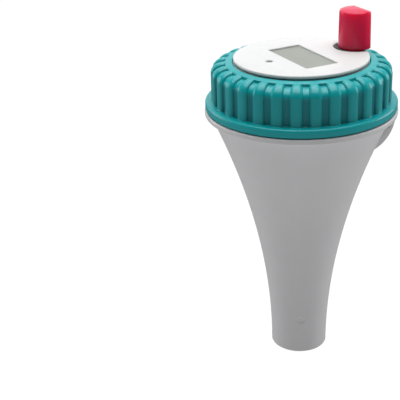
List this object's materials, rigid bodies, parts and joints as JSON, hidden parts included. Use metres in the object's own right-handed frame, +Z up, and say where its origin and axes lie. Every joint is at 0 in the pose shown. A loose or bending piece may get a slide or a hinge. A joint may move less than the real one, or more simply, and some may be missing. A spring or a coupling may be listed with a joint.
{
  "type": "floating pool thermometer",
  "caption": "Funnel-shaped float with a screwed ring nut that clamps a display module, with an antenna post and a tether eye.",
  "frame": {"origin": "centre of the float's flat bottom", "axes": "+Z up along the float's axis; +Y from the axis towards the antenna post; +X to the right when the display is read from -Y"},
  "size_m": [0.1094, 0.1094, 0.2062],
  "materials": {
    "float_grey": "fine satin moulded",
    "inner_white": "satin moulded",
    "ballast_iron": "as cast, painted",
    "ring_teal": "glossy moulded",
    "cover_white": "satin moulded",
    "window_clear": "clear polished acrylic over a grey display",
    "lcd_glass": "polished, grey-green reflective back",
    "holder_black": "satin moulded",
    "rubber_grey": "matt",
    "board_green": "solder mask",
    "screw_steel": "plated",
    "chip_black": "cured resin",
    "spring_steel": "nickel plated",
    "post_red": "glossy moulded",
    "lens_smoked": "smoked, clear polished",
    "led_clear": "clear epoxy",
    "housing_grey": "satin moulded",
    "seal_black": "matt, greased",
    "cell_jacket": "film jacket over a metal can",
    "wire_black": "insulation",
    "probe_steel": "drawn can",
    "button_red": "satin moulded"
  },
  "bodies": {
    "float": {"float_body": "float_grey", "probe_guide": "inner_white", "ballast_weight": "ballast_iron"},
    "module": {"top_cover": "cover_white", "window_lens": "window_clear", "lcd_panel": "lcd_glass", "lcd_frame": "holder_black", "zebra_strips": "rubber_grey", "main_board": "board_green", "board_screws": "screw_steel", "microcontroller": "chip_black", "rf_module": "board_green", "antenna_coil": "spring_steel", "antenna_cover": "post_red", "antenna_seal": "rubber_grey", "status_lens": "lens_smoked", "status_led": "led_clear", "module_housing": "housing_grey", "housing_seal": "seal_black", "rim_seal": "seal_black", "cover_screws": "screw_steel", "battery_1": "cell_jacket", "battery_2": "cell_jacket", "contact_springs": "spring_steel", "contact_plates": "spring_steel", "battery_wires": "wire_black", "battery_door": "housing_grey", "battery_door_seal": "seal_black", "battery_door_screws": "screw_steel", "sensor_lead": "wire_black", "sensor_probe": "probe_steel", "lead_gland": "seal_black", "lead_plug": "inner_white", "switch_board": "board_green", "slide_switch_case": "screw_steel", "button_switch": "holder_black", "switch_wires": "wire_black"},
    "ring": {"ring_nut": "ring_teal"},
    "slider": {"channel_slider": "holder_black"},
    "button": {"reset_button": "button_red"}
  },
  "joints": [
    {"name": "module_rise", "type": "slide", "parent": "float", "child": "module", "axis": [0, 0, 1], "range_m": [0, 0.006]},
    {"name": "ring_turn", "type": "hinge", "parent": "module", "child": "ring", "pos_m": [0, 0, 0.17], "axis": [0, 0, 1], "range_deg": [0, 360]},
    {"name": "channel_slide", "type": "slide", "parent": "module", "child": "slider", "axis": [1, 0, 0], "range_m": [0, 0.004]},
    {"name": "reset_press", "type": "slide", "parent": "module", "child": "button", "axis": [0, 0, 1], "range_m": [0, 0.0008], "stiffness_N_per_m": 150, "springref_m": -0.001}
  ],
  "couplings": [
    {"joint": "module_rise", "follows": "ring_turn", "m_per_rad": 0.00095493}
  ]
}
